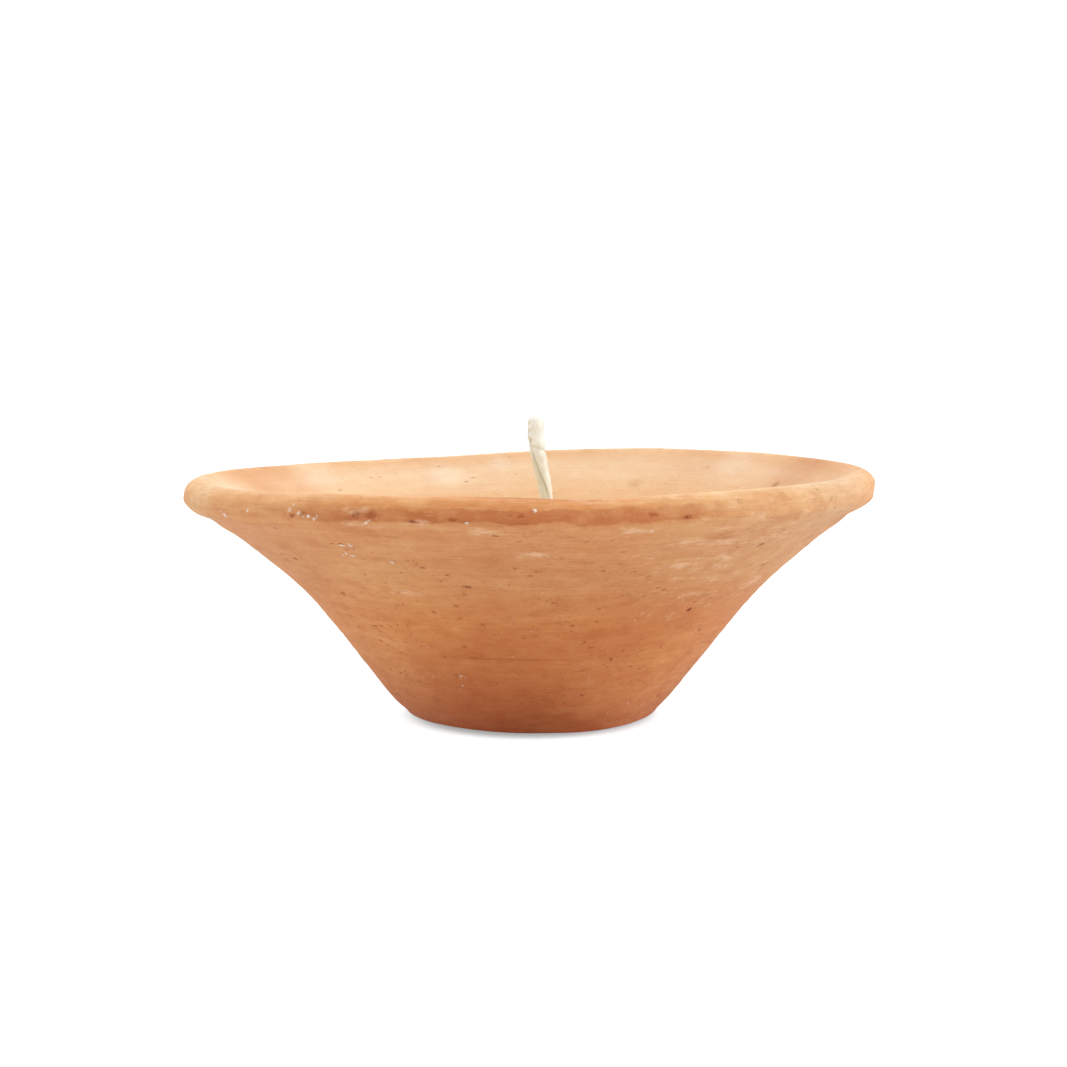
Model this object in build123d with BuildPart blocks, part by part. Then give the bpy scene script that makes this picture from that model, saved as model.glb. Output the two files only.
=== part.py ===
"""A ready-filled clay diya: a thrown terracotta bowl, set wax, and an upright twisted cotton wick.

Frame: millimetres, +Z up, origin at the centre of the flat foot, -Y towards the front.
Pieces: bowl, wax_fill, wick_sustainer, wick_ply_1 and wick_ply_2. Each is written as its own STEP file.
"""

from build123d import *

import math
import os

# Bowl
RIM_DIAMETER = 100.0
BOWL_HEIGHT = 35.5
FOOT_DIAMETER = 36.8
FOOT_EDGE_RADIUS = 0.6
FOOT_SLOPE = 44.0  # degrees above level
FLOOR_HEIGHT = 5.0
FLOOR_FLAT_RADIUS = 8.6
LIP_RADIUS = 2.5  # the rolled lip is round in section
LIP_UNDERCUT_ANGLE = -70.0  # where the roll starts, out of the cove under it
LIP_INSIDE_ANGLE = 128.0  # where the roll runs out into the inside face
# Outside face from above the foot to below the cove, and inside face from below the lip to
# above the floor, as (radius, height). The clay between them is 4.2 to 4.8 thick.
OUTSIDE_FACE = [(22.0, 4.2), (28.0, 12.3), (34.3, 19.8), (40.4, 25.2), (45.2, 29.0)]
INSIDE_FACE = [(37.5, 28.4), (31.0, 22.7), (24.4, 15.0), (17.6, 8.2)]

# Wax
WAX_LEVEL = 26.0
WAX_CLIMB = 0.7  # how far the set wax creeps up the clay and the wick
WAX_CLIMB_WIDTH = 2.4

# Wick: two half-round plies with an S twist, bowed to one side as the wax set round them
WICK_DIAMETER = 2.3
WICK_LAY = 20.0  # length of one full turn of the twist
WICK_TOP = 43.5
WICK_AT_WAX = 2.5  # how far towards +X the wick leaves the wax
# Centre line as (offset towards +X, height)
WICK_LINE = [
    (0.0, 3.0),
    (0.0, 6.0),
    (0.0, 9.0),
    (1.3, 16.5),
    (WICK_AT_WAX, WAX_LEVEL),
    (2.15, 32.5),
    (1.1, 38.0),
    (0.65, WICK_TOP),
]
POINTS_PER_TURN = 16
PLY_EDGE_ROUNDING = 0.3
PLY_TIP_ROUNDING = 0.25

# Wick sustainer: a pressed tinplate disc with a drawn neck that grips the foot of the wick
SUSTAINER_DIAMETER = 15.0
SHEET = 0.3
NECK_HEIGHT = 4.0
NECK_ROOT_RADIUS = 0.6
BEAD_PITCH_RADIUS = 5.0  # the stiffening bead pressed up out of the disc
BEAD_RADIUS = 0.6

# Pieces that touch are modelled this far apart
CONTACT_GAP = 0.03

rim_radius = RIM_DIAMETER / 2
foot_radius = FOOT_DIAMETER / 2
lip_centre = Vector(rim_radius - LIP_RADIUS, BOWL_HEIGHT - LIP_RADIUS)
wick_radius = WICK_DIAMETER / 2
neck_bore = wick_radius + CONTACT_GAP
neck_radius = neck_bore + SHEET
sustainer_radius = SUSTAINER_DIAMETER / 2
sustainer_bottom = FLOOR_HEIGHT + CONTACT_GAP
sustainer_top = sustainer_bottom + SHEET
neck_top = sustainer_bottom + NECK_HEIGHT


def unit(degrees):
    """The unit vector at an angle above level in a section."""
    return Vector(math.cos(math.radians(degrees)), math.sin(math.radians(degrees)))


def on_lip(degrees):
    """The point of the lip's round section at an angle above level."""
    return lip_centre + LIP_RADIUS * unit(degrees)


def inside_line(inset=0.0):
    """Draws the clay's inside face from the lip to the axis, moved in and up by the inset."""
    move = Vector(-inset, inset)
    floor_edge = Vector(FLOOR_FLAT_RADIUS, FLOOR_HEIGHT) + move
    Spline(
        on_lip(LIP_INSIDE_ANGLE) + move,
        *[Vector(*point) + move for point in INSIDE_FACE],
        floor_edge,
        tangents=[unit(LIP_INSIDE_ANGLE + 90), unit(180)],
    )
    Line(floor_edge, (0, floor_edge.Y))


# Bowl: one revolved section with a flared wall, a rolled lip with a cove under it and a flat foot
with BuildPart() as bowl:
    with BuildSketch(Plane.XZ):
        with BuildLine():
            inside_line()
            Polyline((0, FLOOR_HEIGHT), (0, 0), (foot_radius, 0))
            Spline(
                (foot_radius, 0),
                *OUTSIDE_FACE,
                on_lip(LIP_UNDERCUT_ANGLE),
                tangents=[unit(FOOT_SLOPE), unit(LIP_UNDERCUT_ANGLE + 90)],
            )
            ThreePointArc(on_lip(LIP_UNDERCUT_ANGLE), on_lip(0), on_lip(LIP_INSIDE_ANGLE))
        make_face()
    revolve(axis=Axis.Z)
    foot_edge = bowl.edges().filter_by(GeomType.CIRCLE).group_by(Axis.Z)[0]
    fillet(foot_edge, radius=FOOT_EDGE_RADIUS)

# Wick sustainer: a disc with a pressed bead and an upright neck
with BuildPart() as wick_sustainer:
    with BuildSketch(Plane.XZ) as sustainer_section:
        bead_inside = BEAD_PITCH_RADIUS - BEAD_RADIUS
        bead_outside = BEAD_PITCH_RADIUS + BEAD_RADIUS
        with BuildLine():
            Polyline(
                (bead_inside, sustainer_bottom),
                (neck_bore, sustainer_bottom),
                (neck_bore, neck_top),
                (neck_radius, neck_top),
                (neck_radius, sustainer_top),
                (bead_inside, sustainer_top),
            )
            ThreePointArc(
                (bead_inside, sustainer_top),
                (BEAD_PITCH_RADIUS, sustainer_top + BEAD_RADIUS),
                (bead_outside, sustainer_top),
            )
            Polyline(
                (bead_outside, sustainer_top),
                (sustainer_radius, sustainer_top),
                (sustainer_radius, sustainer_bottom),
                (bead_outside, sustainer_bottom),
            )
            ThreePointArc(
                (bead_outside, sustainer_bottom),
                (BEAD_PITCH_RADIUS, sustainer_bottom + BEAD_RADIUS),
                (bead_inside, sustainer_bottom),
            )
        make_face()
        neck_root = sustainer_section.vertices().sort_by_distance((neck_radius, sustainer_top))[0]
        fillet(neck_root, radius=NECK_ROOT_RADIUS)
    revolve(axis=Axis.Z)

# Wick: each ply is half of the round wick, and turns as it follows the wick's centre line
with BuildLine() as wick_line:
    Spline(*[(offset_x, 0, height) for offset_x, height in WICK_LINE], tangents=[(0, 0, 1), (0, 0, 1)])
wick_curve = wick_line.edges()[0]
points_per_ply = round(wick_curve.length / WICK_LAY * POINTS_PER_TURN)


def twist_points():
    """Points along the line round the wick that the crown of the first ply follows."""
    side = Vector(0, 1, 0)
    points = []
    for step in range(points_per_ply + 1):
        distance = wick_curve.length * step / points_per_ply
        centre = wick_curve.position_at(distance, position_mode=PositionMode.LENGTH)
        along = wick_curve.tangent_at(distance, position_mode=PositionMode.LENGTH)
        turn = math.radians(360 * distance / WICK_LAY)
        out = side * math.cos(turn) - along.cross(side) * math.sin(turn)
        points.append(centre + out * wick_radius)
    return points


with BuildLine() as twist_line:
    Spline(*twist_points())
twist_curve = twist_line.edges()[0]


def make_ply(crown):
    """One half-round ply with its crown on one side, cut flat at the foot and rounded at the tip."""
    with BuildPart() as ply:
        with BuildSketch(Plane(wick_curve @ 0, x_dir=crown, z_dir=wick_curve % 0)) as half:
            Circle(wick_radius)
            split(bisect_by=Plane.YZ.offset(CONTACT_GAP / 2))
            fillet(half.vertices(), radius=PLY_EDGE_ROUNDING)
        sweep(path=wick_curve, binormal=twist_curve)
        split(bisect_by=Plane.XY.offset(sustainer_bottom))
        tip_edge = ply.edges().group_by(Axis.Z)[-1]
        fillet(tip_edge, radius=PLY_TIP_ROUNDING)
    return ply


first_crown = twist_curve @ 0 - wick_curve @ 0
wick_ply_1 = make_ply(first_crown)
wick_ply_2 = make_ply(-first_crown)

# Wax: fills the bowl round the wick and the sustainer, and creeps up the clay and the wick
climb_radius = (WAX_CLIMB_WIDTH**2 + WAX_CLIMB**2) / (2 * WAX_CLIMB)
climb_angle = math.degrees(math.asin(WAX_CLIMB_WIDTH / climb_radius))
with BuildLine() as wax_side:
    inside_line(CONTACT_GAP)
climb_level = Axis((0, WAX_LEVEL + WAX_CLIMB, 0), (1, 0, 0))
climb_end = wax_side.edges()[0].find_intersection_points(climb_level)[0]

with BuildPart() as wick_collar:
    with BuildSketch(Plane.XZ):
        with BuildLine():
            flare = JernArc((WAX_CLIMB_WIDTH, WAX_LEVEL), unit(180), climb_radius, -climb_angle)
            Polyline(
                flare @ 1,
                (0, WAX_LEVEL + WAX_CLIMB),
                (0, FLOOR_HEIGHT + NECK_HEIGHT),
                (WAX_CLIMB_WIDTH, FLOOR_HEIGHT + NECK_HEIGHT),
                flare @ 0,
            )
        make_face()
    revolve(axis=Axis.Z)

with BuildPart() as sustainer_pocket:
    with BuildSketch(Plane.XZ):
        add(sustainer_section.sketch)
        offset(amount=CONTACT_GAP)
        Rectangle(sustainer_radius, sustainer_top, align=Align.MIN)
        Rectangle(neck_radius, neck_top, align=Align.MIN)
        with Locations((BEAD_PITCH_RADIUS, sustainer_top)):
            Circle(BEAD_RADIUS)
    revolve(axis=Axis.Z)

with BuildPart() as wick_hole:
    with BuildSketch(Plane(wick_curve @ 0, z_dir=wick_curve % 0)):
        Circle(neck_bore)
    sweep(path=wick_curve)

with BuildPart() as wax_fill:
    with BuildSketch(Plane.XZ):
        with BuildLine():
            inside_line(CONTACT_GAP)
            Polyline(wax_side.line @ 1, (0, BOWL_HEIGHT), wax_side.line @ 0)
        make_face()
    revolve(axis=Axis.Z)
    with BuildSketch(Plane.XZ):
        with BuildLine():
            level = Line((0, WAX_LEVEL), (climb_end.X - WAX_CLIMB_WIDTH, WAX_LEVEL))
            climb = JernArc(level @ 1, unit(0), climb_radius, climb_angle)
            Polyline(
                climb @ 1,
                (rim_radius, WAX_LEVEL + WAX_CLIMB),
                (rim_radius, BOWL_HEIGHT),
                (0, BOWL_HEIGHT),
                (0, WAX_LEVEL),
            )
        make_face()
    revolve(axis=Axis.Z, mode=Mode.SUBTRACT)
    with Locations((WICK_AT_WAX, 0, 0)):
        add(wick_collar.part)
    add(sustainer_pocket.part, mode=Mode.SUBTRACT)
    add(wick_hole.part, mode=Mode.SUBTRACT)

pieces = {
    "bowl": bowl,
    "wax_fill": wax_fill,
    "wick_sustainer": wick_sustainer,
    "wick_ply_1": wick_ply_1,
    "wick_ply_2": wick_ply_2,
}
os.makedirs("parts", exist_ok=True)
for name, piece in pieces.items():
    piece.part.label = name
    export_step(piece.part, f"parts/{name}.step")
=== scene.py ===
"""Looks of the ready-filled clay diya: a hand-thrown bowl, set wax and a two-ply cotton wick.

Everything is in metres in the CAD's frame: +Z up, the foot on z = 0, -Y towards the camera.
Angles round the bowl are in degrees from +X, so the front is at -90.
"""

import math
import random

import bpy
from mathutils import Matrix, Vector, noise
from mathutils.bvhtree import BVHTree


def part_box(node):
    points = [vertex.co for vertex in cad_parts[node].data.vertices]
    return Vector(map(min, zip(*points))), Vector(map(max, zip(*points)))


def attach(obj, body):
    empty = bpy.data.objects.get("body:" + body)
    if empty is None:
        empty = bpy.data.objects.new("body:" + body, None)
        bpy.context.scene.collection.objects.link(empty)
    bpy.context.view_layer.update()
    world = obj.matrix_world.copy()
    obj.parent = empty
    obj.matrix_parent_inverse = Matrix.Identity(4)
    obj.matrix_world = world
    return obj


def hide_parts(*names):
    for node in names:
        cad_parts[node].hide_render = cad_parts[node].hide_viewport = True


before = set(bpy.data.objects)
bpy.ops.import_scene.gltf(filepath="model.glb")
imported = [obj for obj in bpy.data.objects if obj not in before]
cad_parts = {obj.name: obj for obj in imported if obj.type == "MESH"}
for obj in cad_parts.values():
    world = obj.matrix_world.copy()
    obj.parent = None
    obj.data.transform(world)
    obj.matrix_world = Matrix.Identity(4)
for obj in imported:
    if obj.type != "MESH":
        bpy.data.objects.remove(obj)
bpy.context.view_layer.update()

MM = 0.001
random.seed(11)

bowl_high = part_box("bowl")[1]
wax_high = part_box("wax_fill")[1]
rim_radius = bowl_high[0]
rim_height = bowl_high[2]
wick_foot, wick_top = (corner[2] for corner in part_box("wick_ply_1"))

# Bowl mesh
STEPS_AROUND = 640
LIP_RADIUS = 2.5 * MM
LIP_START = -70  # degrees above level, where the lip leaves the outside face
LIP_END = 128  # where the lip runs into the inside face
FOOT_EDGE = 0.7 * MM
OUTSIDE_KNOTS = 11
INSIDE_KNOTS = 8
# Row spacing along the section
COARSE_STEP = 2.4 * MM
FINE_STEP = 0.55 * MM
LIP_STEP = 0.36 * MM

# How the hand-made bowl differs from a true turned shape
RIM_TILT = 0.6 * MM
BACK_TILT = 0.64 * MM
BACK_LIFT = 0.28 * MM
RIM_SWELLS = [(-114, 0.28, 18), (-79, -0.34, 9)]  # (angle, millimetres higher, width in degrees)
OVAL = 0.32 * MM
BELLY = 0.22 * MM  # the wall swells a little here
BELLY_HEIGHT = 14 * MM
TILT_FROM = 18 * MM
BLUNT_TOP = 30  # degrees above level, where the blunt lip's outer face starts
BLUNT_CORNER_FRONT = -10  # where that face ends and the straight underside starts
BLUNT_CORNER_RIGHT = -28
PRESS_RIGHT = 0.25 * MM  # how far the corner is pushed in at the right
BLUNT_RUN = 4.6 * MM  # how far below the lip its straight underside meets the wall
UNDERCUT = 0.30  # millimetres, how much deeper the cove under the lip is at the left and right
# Grooves left by the potter's fingers, as (height, depth) in millimetres
THROWING_LINES = [(7.6, 0.05), (12.15, 0.085), (17.1, 0.07), (21.4, 0.05), (25.2, 0.05)]
# Single pits on the outside, as (angle, height, radius) with lengths in millimetres
PITS = [
    (-115.5, 33.1, 0.36), (-135.6, 20.7, 0.36), (-46.5, 28.1, 0.32), (-101.9, 23.3, 0.26),
    (-67.4, 33.0, 0.24), (-50.6, 18.9, 0.32), (-126.6, 32.7, 0.24), (-139.5, 25.6, 0.32),
    (-106.7, 32.6, 0.22), (-121.8, 28.9, 0.26),
]
PIT_COUNT = 40
# Where the foot's edge is worn, as (angle, fully worn this near, unworn this far, millimetres)
FOOT_WEAR = [(-160, 20, 110, 0.35), (-15, 10, 60, 0.16)]


def lerp(a, b, share):
    return a + (b - a) * share


def smooth(low, high, value):
    """0 below low, 1 above high and an S curve between them."""
    share = min(max((value - low) / (high - low), 0), 1)
    return share * share * (3 - 2 * share)


def hump(value, centre, width):
    """A bell curve, 1 at its centre."""
    return math.exp(-(((value - centre) / width) ** 2))


def turn_between(a, b):
    """The smallest turn between two angles in degrees."""
    return abs((a - b + 180) % 360 - 180)


def outwards(degrees, up=0):
    """The direction out from the bowl's axis at an angle."""
    turn = math.radians(degrees)
    return Vector((math.cos(turn), math.sin(turn), up))


def catmull_rom(knots, steps):
    """Points on a smooth curve through the knots, with as many steps between each two."""
    ends = [2 * knots[0] - knots[1]] + knots + [2 * knots[-1] - knots[-2]]
    points = []
    for before, start, end, after in zip(ends, ends[1:], ends[2:], ends[3:]):
        for step in range(steps):
            t = step / steps
            points.append(
                0.5 * (
                    2 * start
                    + (end - before) * t
                    + (2 * before - 5 * start + 4 * end - after) * t ** 2
                    + (3 * start - before - 3 * end + after) * t ** 3
                )
            )
    return points + [knots[-1]]


def surface_of(*objects):
    """A search tree of the objects' surfaces."""
    points, faces = [], []
    for obj in objects:
        mesh = obj.data
        first = len(points)
        points.extend(vertex.co.copy() for vertex in mesh.vertices)
        faces.extend([first + index for index in face.vertices] for face in mesh.polygons)
    return BVHTree.FromPolygons(points, faces)


def make_object(name, points, faces):
    """A smooth-shaded mesh. Nothing on the lamp moves, so everything rides on the one body."""
    mesh = bpy.data.meshes.new(name)
    mesh.from_pydata(points, [], faces)
    mesh.validate()
    for face in mesh.polygons:
        face.use_smooth = True
    obj = bpy.data.objects.new(name, mesh)
    bpy.context.scene.collection.objects.link(obj)
    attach(obj, "root")
    return obj


def store(obj, name, values):
    """Keeps one number for each vertex, for the material to read."""
    layer = obj.data.attributes.new(name, "FLOAT", "POINT")
    layer.data.foreach_set("value", values)


def store_vectors(obj, name, vectors):
    """Keeps one vector for each vertex, for the material to read."""
    layer = obj.data.attributes.new(name, "FLOAT_VECTOR", "POINT")
    layer.data.foreach_set("vector", [number for vector in vectors for number in vector])


# ---------------- bowl

bowl_surface = surface_of(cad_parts["bowl"])
lip_centre = Vector((rim_radius - LIP_RADIUS, rim_height - LIP_RADIUS))


def outside_radius(height):
    return bowl_surface.ray_cast(Vector((2 * rim_radius, 0, height)), Vector((-1, 0, 0)))[0].x


def inside_radius(height):
    return bowl_surface.ray_cast(Vector((0, 0, height)), Vector((1, 0, 0)))[0].x


def on_lip(degrees):
    angle = math.radians(degrees)
    return lip_centre + LIP_RADIUS * Vector((math.cos(angle), math.sin(angle)))


def lengths_along(points):
    """The distance along a polyline at each of its points."""
    lengths = [0]
    for a, b in zip(points, points[1:]):
        lengths.append(lengths[-1] + (b - a).length)
    return lengths


def walk(points, step):
    """Points evenly spaced along a polyline, about a step apart, without its last point."""
    lengths = lengths_along(points)
    count = max(1, round(lengths[-1] / step))
    result, index = [], 0
    for number in range(count):
        target = lengths[-1] * number / count
        while lengths[index + 1] < target:
            index += 1
        share = (target - lengths[index]) / (lengths[index + 1] - lengths[index])
        result.append(lerp(points[index], points[index + 1], share))
    return result


def bowl_section():
    """The bowl's section as (radius, height), from under the foot, up the outside and down the inside.

    Also returns the rows where the outside face, the lip and the inside face start.
    """
    floor_height = bowl_surface.ray_cast(Vector((0, 0, rim_height)), Vector((0, 0, -1)))[0].z
    lip_start, lip_end = on_lip(LIP_START), on_lip(LIP_END)
    foot_radius = outside_radius(FOOT_EDGE) - FOOT_EDGE
    wall_heights = [
        lerp(1.4 * FOOT_EDGE, lip_start.y, knot / OUTSIDE_KNOTS) for knot in range(OUTSIDE_KNOTS)
    ]
    wall = [Vector((outside_radius(height), height)) for height in wall_heights] + [lip_start]
    lip = [on_lip(degrees) for degrees in range(LIP_START, LIP_END + 1, 3)]
    inside_heights = [
        lerp(lip_end.y, floor_height, (knot / INSIDE_KNOTS) ** 0.8) for knot in range(INSIDE_KNOTS)
    ]
    inside = [lip_end] + [Vector((inside_radius(height), height)) for height in inside_heights[1:]]
    inside_curve = catmull_rom(inside + [Vector((0.17 * rim_radius, floor_height))], 12)
    shown = [point for point in inside_curve if point.y > wax_high[2] - FINE_STEP]
    hidden = inside_curve[len(shown) - 1:] + [Vector((0, floor_height))]
    corner = Vector((foot_radius, 0))
    foot_bend = Vector((foot_radius + 0.62 * FOOT_EDGE, 0.3 * FOOT_EDGE))
    foot_curve = catmull_rom([corner, foot_bend, wall[0]], 6)
    rows = walk([Vector((0, 0)), corner], COARSE_STEP)
    outside_row = len(rows)
    rows += walk(foot_curve, FINE_STEP / 2)
    rows += walk(catmull_rom(wall, 12), FINE_STEP)
    lip_row = len(rows)
    rows += walk(lip, LIP_STEP)
    inside_row = len(rows)
    rows += walk(shown, FINE_STEP)
    rows += walk(hidden, COARSE_STEP)
    rows += [Vector((0, floor_height))]
    return rows, outside_row, lip_row, inside_row


section, outside_row, lip_row, inside_row = bowl_section()


def section_normals():
    """The direction out of the clay at each row."""
    normals = []
    for index in range(len(section)):
        along = section[min(index + 1, len(section) - 1)] - section[max(index - 1, 0)]
        normals.append(Vector((along.y, -along.x)).normalized())
    return normals


normals = section_normals()
lengths = lengths_along(section)


def lip_row_at(degrees):
    """The row nearest an angle on the lip."""
    return lip_row + round((degrees - LIP_START) / (LIP_END - LIP_START) * (inside_row - lip_row))


run_row = max(row for row in range(lip_row) if lengths[row] < lengths[lip_row] - BLUNT_RUN)
top_row = lip_row_at(BLUNT_TOP)


def blunt_share(angle):
    """How blunt the lip is at an angle: 1 at the front and right, least at the left."""
    front_right = 1 - smooth(55, 125, turn_between(angle, -45))
    behind = 0.45 * (1 - smooth(30, 80, turn_between(angle, 100)))
    return max(front_right, behind, 0.3)


def shaped_section(angle):
    """The section at an angle, with the lip blunted by straight faces where it was pressed."""
    share = blunt_share(angle)
    to_right = 1 - smooth(10, 70, turn_between(angle, 0))
    corner_row = lip_row_at(lerp(BLUNT_CORNER_FRONT, BLUNT_CORNER_RIGHT, to_right))
    blunt = list(section)
    blunt[corner_row] = section[corner_row] - Vector((PRESS_RIGHT * to_right, 0))
    for first, last in ((run_row, corner_row), (corner_row, top_row)):
        start, end = blunt[first], blunt[last]
        for row in range(first, last):
            blunt[row] = lerp(start, end, (row - first) / (last - first))
    softened = list(blunt)
    for row in range(run_row, top_row + 2):
        softened[row] = sum((blunt[row + step] for step in range(-1, 2)), Vector((0, 0))) / 3
    return [lerp(a, b, share) for a, b in zip(section, softened)]


def rise(angle):
    """How much higher the hand-made rim stands than the true one: low at the left, most of all behind."""
    around = outwards(angle, 3.7)
    behind = BACK_TILT * math.tanh(3 * around.x) + BACK_LIFT * hump(around.x, 0.15, 0.5) - 0.08 * MM
    swells = sum(higher * MM * hump(turn_between(angle, at), 0, width) for at, higher, width in RIM_SWELLS)
    wobble = 0.10 * MM * noise.noise(around * 2.2)
    return RIM_TILT * around.x + behind * max(around.y, 0) + swells + wobble


def spread(angle):
    """How much wider the hand-made rim is than the true one: it is slightly oval."""
    turn = math.radians(angle)
    around = Vector((math.cos(turn), math.sin(turn), 9.1))
    oval = OVAL * math.cos(turn) ** 2 * (1 - 0.05 * math.cos(turn))
    return oval + 0.08 * MM * noise.noise(around * 1.8)


groove_row = lip_row_at(8)
line_rows = [
    (min(range(outside_row, lip_row), key=lambda row: abs(section[row].y - height * MM)), depth * MM)
    for height, depth in THROWING_LINES
]


def relief(angle, row, place):
    """How far throwing rings, lines, dents and grit raise the surface, and how hollow the rings are."""
    around = outwards(angle)
    length = lengths[row]
    point = place / MM
    inside = row > inside_row
    rings = 0.03 * noise.noise(around * 0.9 + Vector((0, 0, length / (1.25 * MM))))
    broad = 0.05 * noise.noise(around * 0.7 + Vector((4, 0, length / (4.3 * MM))))
    if inside:
        broad *= 1.6
    dents = 0.14 * noise.noise(point / 13) + 0.045 * noise.noise(point / 4.5)
    grit = 0.016 * noise.noise(point / 1.1) + 0.012 * noise.noise(point / 0.6)
    lines = 0
    if outside_row < row < lip_row:
        for line_row, depth in line_rows:
            waver = 0.35 * MM * noise.noise(around * 1.5 + Vector((0, 7, line_row)))
            away = length - lengths[line_row] - waver
            if abs(away) < 1.5 * MM:
                strength = max(0.7 + 0.6 * noise.noise(around * 2.3 + Vector((2, 0, line_row))), 0.35)
                shape = hump(away, 0, 0.36 * MM) - 0.5 * hump(away, 0.60 * MM, 0.4 * MM)
                lines -= depth / MM * strength * shape
    belly = BELLY / MM * hump(place.z, BELLY_HEIGHT, 6.5 * MM) if row < lip_row else 0
    pressed = 1 - smooth(25, 42, turn_between(angle, -92))
    groove = -0.16 * pressed * hump(length, lengths[groove_row], 0.75 * MM)
    cove = hump(length, lengths[lip_row] - 1.4 * MM, 1.6 * MM)
    undercut = -UNDERCUT * smooth(0.55, 0.95, abs(around.x)) * cove
    raised = rings + broad + dents + lines + belly + groove + undercut
    return smooth(0, 6, row) * (raised + grit) * MM, rings + 2 * lines


def build_bowl():
    """The bowl's mesh, one ring of vertices for each row of the section."""
    columns = []
    hollows = []
    for column in range(STEPS_AROUND):
        angle = 360 * column / STEPS_AROUND
        out = outwards(angle)
        lift, widen = rise(angle), spread(angle)
        foot_wear = max(
            worn * (1 - smooth(near, far, turn_between(angle, at))) for at, near, far, worn in FOOT_WEAR
        )
        places, marks = [], []
        for row, (radius, height) in enumerate(shaped_section(angle)):
            normal = out * normals[row].x + Vector((0, 0, normals[row].y))
            place = out * radius + Vector((0, 0, height))
            upper = smooth(TILT_FROM, rim_height, height)
            place += out * widen * upper + Vector((0, 0, lift * upper))
            offset, mark = relief(angle, row, place)
            if row < outside_row:
                offset = 0  # the underside is cut flat
            wear = foot_wear * hump(lengths[row], lengths[outside_row] + 0.6 * MM, 1.3 * MM) * MM
            place += normal * (offset - wear)
            place.z = max(place.z, 0)
            places.append(place)
            marks.append(mark)
        columns.append(places)
        hollows.append(marks)
    add_pits(columns, hollows)
    last = len(section) - 1
    points = [sum((places[0] for places in columns), Vector()) / STEPS_AROUND]
    marks = [0.0]
    for places, hollow in zip(columns, hollows):
        points.extend(places[1:last])
        marks.extend(hollow[1:last])
    points.append(sum((places[last] for places in columns), Vector()) / STEPS_AROUND)
    marks.append(0.0)
    ring = last - 1
    faces = []
    for column in range(STEPS_AROUND):
        this = 1 + column * ring
        other = 1 + (column + 1) % STEPS_AROUND * ring
        faces.append((0, other, this))
        for row in range(ring - 1):
            faces.append((this + row, other + row, other + row + 1, this + row + 1))
        faces.append((this + ring - 1, other + ring - 1, len(points) - 1))
    obj = make_object("bowl_clay", points, faces)
    # How hollow each place is, for the painted shade that the clay's material puts in the hollows
    store(obj, "hollow", marks)
    along = [0.0] + lengths[1:last] * STEPS_AROUND + [lengths[last]]
    turned = []
    for point, length in zip(points, along):
        radius = math.hypot(point.x, point.y) or 1
        turned.append((point.x / radius, point.y / radius, length / MM))
    store_vectors(obj, "turned", turned)
    return obj


def outside_row_at(angle, height):
    """The row of the outside face or the lip that stands at a height, given in millimetres."""
    lift = rise(angle)

    def away(row):
        upper = smooth(TILT_FROM, rim_height, section[row].y)
        return abs(section[row].y + lift * upper - height * MM)

    return min(range(outside_row, lip_row_at(85)), key=away)


def add_pit(columns, hollows, column, row, radius, stretch):
    """Sinks one small pit, longer along the throwing direction."""
    depth = 0.4 * radius
    around = 2 * math.pi * columns[column][row].xy.length / STEPS_AROUND / stretch
    reach = min(int(2 * radius / around) + 2, 12)
    for step in range(-reach, reach + 1):
        places = columns[(column + step) % STEPS_AROUND]
        out = outwards(360 * (column + step) / STEPS_AROUND)
        for near in range(max(row - 5, 1), min(row + 6, len(section) - 1)):
            across = lengths[near] - lengths[row]
            fall = math.exp(-((step * around) ** 2 + across ** 2) / radius ** 2)
            normal = out * normals[near].x + Vector((0, 0, normals[near].y))
            places[near] -= normal * depth * fall
            hollows[(column + step) % STEPS_AROUND][near] -= 0.25 * fall


def add_pits(columns, hollows):
    """Small pits where grit was dragged out: the larger ones in set places, the rest scattered."""
    for angle, height, radius in PITS:
        column = round(angle % 360 / 360 * STEPS_AROUND) % STEPS_AROUND
        add_pit(columns, hollows, column, outside_row_at(angle, height), radius * MM, 1.6)
    for _ in range(PIT_COUNT):
        row = random.randrange(outside_row + 4, inside_row + 12)
        column = random.randrange(STEPS_AROUND)
        add_pit(columns, hollows, column, row, random.uniform(0.24, 0.40) * MM, random.uniform(1.0, 2.2))


# ---------------- wax

WAX_RINGS = 90
WAX_STEPS_AROUND = 256
WAX_GAP = 0.25 * MM  # keeps the hidden wax off the uneven clay
WAX_CLIMB = 0.7 * MM  # how far it creeps up the clay
WAX_TUCK = 0.3 * MM  # how far its edge reaches into the clay, out of sight
WICK_CLIMB = 1.2 * MM
DISH_DEPTH = 0.5 * MM  # set wax sinks a little where it is thickest
WICK_RADIUS = 1.15 * MM


def wick_centres():
    """The wick's centre line from foot to tip, measured on the CAD plies."""
    plies = surface_of(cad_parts["wick_ply_1"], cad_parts["wick_ply_2"])
    # Off the joint between the plies. Opposite sides match, because one ply is the other turned.
    aside = 0.4 * MM
    heights = [lerp(wick_foot + 0.5 * MM, wick_top - 0.8 * MM, step / 16) for step in range(17)]
    centres = []
    for height in heights:
        left = plies.ray_cast(Vector((-rim_radius, aside, height)), Vector((1, 0, 0)))[0].x
        right = plies.ray_cast(Vector((rim_radius, -aside, height)), Vector((-1, 0, 0)))[0].x
        centres.append(Vector(((left + right) / 2, 0, height)))
    foot = Vector((centres[0].x, 0, wick_foot - 0.01 * MM))
    tip = Vector((centres[-1].x, 0, wick_top))
    return [foot] + centres[1:-1] + [tip]


wick_line = catmull_rom(wick_centres(), 16)


def wick_centre(height):
    """The wick's centre at a height, between the measured points."""
    for a, b in zip(wick_line, wick_line[1:]):
        if a.z <= height < b.z:
            return lerp(a, b, (height - a.z) / (b.z - a.z))
    return wick_line[-1].copy()


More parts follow.
